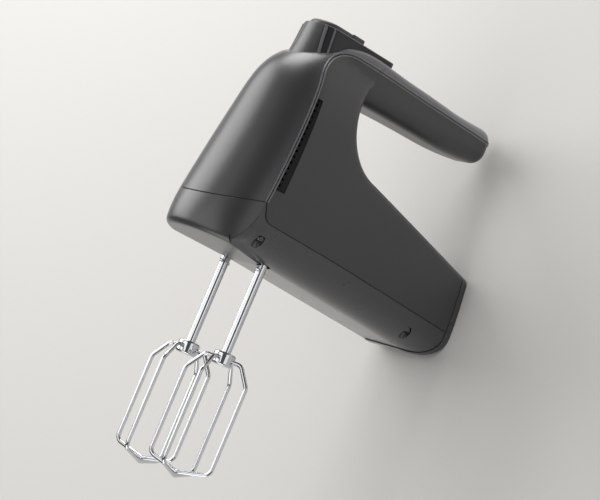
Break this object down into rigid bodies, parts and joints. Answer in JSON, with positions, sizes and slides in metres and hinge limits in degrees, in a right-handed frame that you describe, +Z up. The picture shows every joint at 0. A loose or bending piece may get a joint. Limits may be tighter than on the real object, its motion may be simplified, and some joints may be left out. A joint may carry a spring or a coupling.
{
  "type": "hand mixer",
  "caption": "Electric hand mixer with a wedge-shaped dark housing, an open-ended top handle, an eject button, a speed slider and removable wire beaters driven through a worm gear.",
  "frame": {"origin": "centre of the flat heel face that the mixer stands on", "axes": "+Z up from the heel towards the nose, +X from the beaters towards the handle, +Y to the right-hand side of the user"},
  "size_m": [0.3005, 0.0816, 0.2096],
  "materials": {
    "housing": "satin gloss",
    "nose": "satin gloss",
    "base": "gloss",
    "trim": "satin",
    "controls": "fine texture",
    "vents": "matte",
    "grommet": "matte",
    "wire": "polished",
    "fastener": "plain",
    "lamination": "plain",
    "copper": "enamelled",
    "bearing": "plain",
    "shaft": "ground",
    "frame": "glass filled",
    "gear": "natural",
    "carbon": "sintered"
  },
  "bodies": {
    "housing": {"nose_shell": "nose", "nose_cap": "nose", "base_shell": "base", "heel_cap": "base", "left_housing": "housing", "right_housing": "housing", "left_handle": "housing", "right_handle": "housing", "handle_top_cover": "trim", "control_console": "controls", "left_vent": "vents", "right_vent": "vents", "cord_inlet": "grommet", "case_screws": "fastener", "speed_switch": "frame", "gear_frame": "frame", "shaft_bushes": "bearing", "spindle_bushes": "bearing", "stator_core": "lamination", "field_coils": "copper", "motor_bracket": "frame", "motor_bolts": "fastener", "carbon_brushes": "carbon", "brush_holders": "bearing", "brush_springs": "fastener", "eject_spring": "fastener"},
    "armature": {"motor_shaft": "shaft", "armature_core": "lamination", "armature_coils": "copper", "commutator": "copper", "fan": "frame"},
    "left_drive": {"left_gear": "gear", "left_spindle": "shaft"},
    "right_drive": {"right_gear": "gear", "right_spindle": "shaft"},
    "ejector": {"eject_button": "controls", "eject_yoke": "frame"},
    "slider": {"speed_slider": "controls"},
    "left_pin": {"left_push_pin": "shaft"},
    "right_pin": {"right_push_pin": "shaft"},
    "left_beater": {"left_beater_shaft": "wire", "left_beater_hub": "wire", "left_outer_loop": "wire", "left_inner_loop": "wire"},
    "right_beater": {"right_beater_shaft": "wire", "right_beater_hub": "wire", "right_outer_loop": "wire", "right_inner_loop": "wire"}
  },
  "joints": [
    {"name": "motor_spin", "type": "hinge", "parent": "housing", "child": "armature", "pos_m": [0.00065, 0, 0.1505], "axis": [0, 0, -1], "continuous": true},
    {"name": "eject_press", "type": "slide", "parent": "housing", "child": "ejector", "axis": [-1, 0, 0], "range_m": [0, 0.0045], "stiffness_N_per_m": 700, "springref_m": -0.004, "deforming": ["eject_spring"]},
    {"name": "speed_slide", "type": "slide", "parent": "housing", "child": "slider", "axis": [0, 0, -1], "range_m": [0, 0.022]},
    {"name": "left_drive_spin", "type": "hinge", "parent": "housing", "child": "left_drive", "pos_m": [-0.03235, -0.0195, 0.1505], "axis": [1, 0, 0], "continuous": true},
    {"name": "left_pin_slide", "type": "slide", "parent": "left_drive", "child": "left_pin", "axis": [-1, 0, 0], "range_m": [0, 0.0045]},
    {"name": "left_beater_pull", "type": "slide", "parent": "left_pin", "child": "left_beater", "axis": [-1, 0, 0], "range_m": [0, 0.045]},
    {"name": "right_drive_spin", "type": "hinge", "parent": "housing", "child": "right_drive", "pos_m": [-0.03235, 0.0195, 0.1505], "axis": [1, 0, 0], "continuous": true},
    {"name": "right_pin_slide", "type": "slide", "parent": "right_drive", "child": "right_pin", "axis": [-1, 0, 0], "range_m": [0, 0.0045]},
    {"name": "right_beater_pull", "type": "slide", "parent": "right_pin", "child": "right_beater", "axis": [-1, 0, 0], "range_m": [0, 0.045]}
  ],
  "couplings": [
    {"joint": "left_drive_spin", "follows": "motor_spin", "ratio": 0.083333},
    {"joint": "left_pin_slide", "follows": "eject_press", "ratio": 1},
    {"joint": "right_drive_spin", "follows": "motor_spin", "ratio": -0.083333},
    {"joint": "right_pin_slide", "follows": "eject_press", "ratio": 1}
  ]
}
